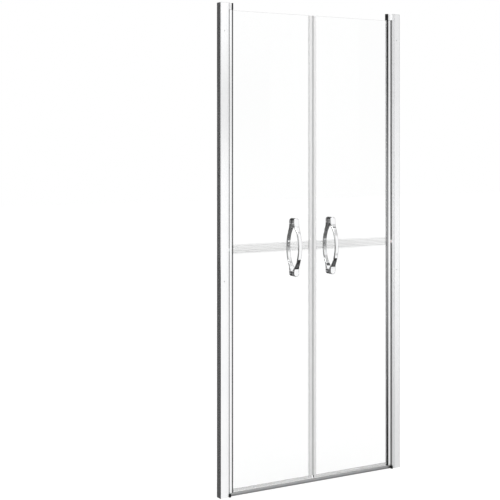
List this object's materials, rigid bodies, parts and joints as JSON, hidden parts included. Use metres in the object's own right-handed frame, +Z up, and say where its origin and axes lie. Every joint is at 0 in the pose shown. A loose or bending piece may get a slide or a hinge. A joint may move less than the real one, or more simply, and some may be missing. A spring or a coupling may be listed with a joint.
{
  "type": "shower door",
  "caption": "Saloon shower door: framed glass leaves that swing both ways between aluminium wall posts, with bow handles, clear edge seals and a low sill.",
  "frame": {"origin": "middle of the door's width and depth, on the tray", "axes": "+X to the right seen from outside, +Y into the shower, +Z up"},
  "size_m": [0.86, 0.098, 1.9],
  "materials": {
    "polished_aluminium": "bright polished anodised",
    "chrome": "mirror chrome plate",
    "steel": "turned stainless steel",
    "clear_glass": "clear toughened glass",
    "clear_vinyl": "clear extruded vinyl",
    "grey_rubber": "satin grey elastomer",
    "magnet_rubber": "matt flexible magnet strip",
    "black_plastic": "fine moulded black",
    "grey_plastic": "satin moulded grey",
    "white_nylon": "natural nylon"
  },
  "bodies": {
    "frame": {"left_wall_profile": "polished_aluminium", "right_wall_profile": "polished_aluminium", "left_jamb_profile": "polished_aluminium", "right_jamb_profile": "polished_aluminium", "left_top_bracket": "polished_aluminium", "right_top_bracket": "polished_aluminium", "left_top_cap": "grey_plastic", "right_top_cap": "grey_plastic", "left_adjust_screws": "steel", "right_adjust_screws": "steel", "left_bracket_screw": "steel", "right_bracket_screw": "steel", "left_top_bearing": "black_plastic", "right_top_bearing": "black_plastic", "left_top_pin": "steel", "right_top_pin": "steel", "left_bottom_shoe": "black_plastic", "right_bottom_shoe": "black_plastic", "left_bottom_bush": "white_nylon", "right_bottom_bush": "white_nylon", "left_jamb_strips": "grey_rubber", "right_jamb_strips": "grey_rubber", "left_middle_glide": "white_nylon", "right_middle_glide": "white_nylon", "sill": "polished_aluminium"},
    "left_leaf": {"left_stile": "polished_aluminium", "left_glass_gasket": "grey_rubber", "left_top_bush": "white_nylon", "left_bottom_pivot": "steel", "left_upper_pane": "clear_glass", "left_lower_pane": "clear_glass", "left_middle_band": "clear_vinyl", "left_bottom_seal": "clear_vinyl", "left_closing_seal": "clear_vinyl", "left_magnet_strips": "magnet_rubber", "left_outer_handle": "chrome", "left_inner_handle": "chrome", "left_handle_bolts": "steel", "left_handle_washers": "grey_rubber"},
    "right_leaf": {"right_stile": "polished_aluminium", "right_glass_gasket": "grey_rubber", "right_top_bush": "white_nylon", "right_bottom_pivot": "steel", "right_upper_pane": "clear_glass", "right_lower_pane": "clear_glass", "right_middle_band": "clear_vinyl", "right_bottom_seal": "clear_vinyl", "right_closing_seal": "clear_vinyl", "right_magnet_strips": "magnet_rubber", "right_outer_handle": "chrome", "right_inner_handle": "chrome", "right_handle_bolts": "steel", "right_handle_washers": "grey_rubber"}
  },
  "joints": [
    {"name": "left_leaf_swing", "type": "hinge", "parent": "frame", "child": "left_leaf", "pos_m": [-0.382, 0, 0.95], "axis": [0, 0, 1], "range_deg": [-90, 90]},
    {"name": "right_leaf_swing", "type": "hinge", "parent": "frame", "child": "right_leaf", "pos_m": [0.382, 0, 0.95], "axis": [0, 0, 1], "range_deg": [-90, 90]}
  ]
}
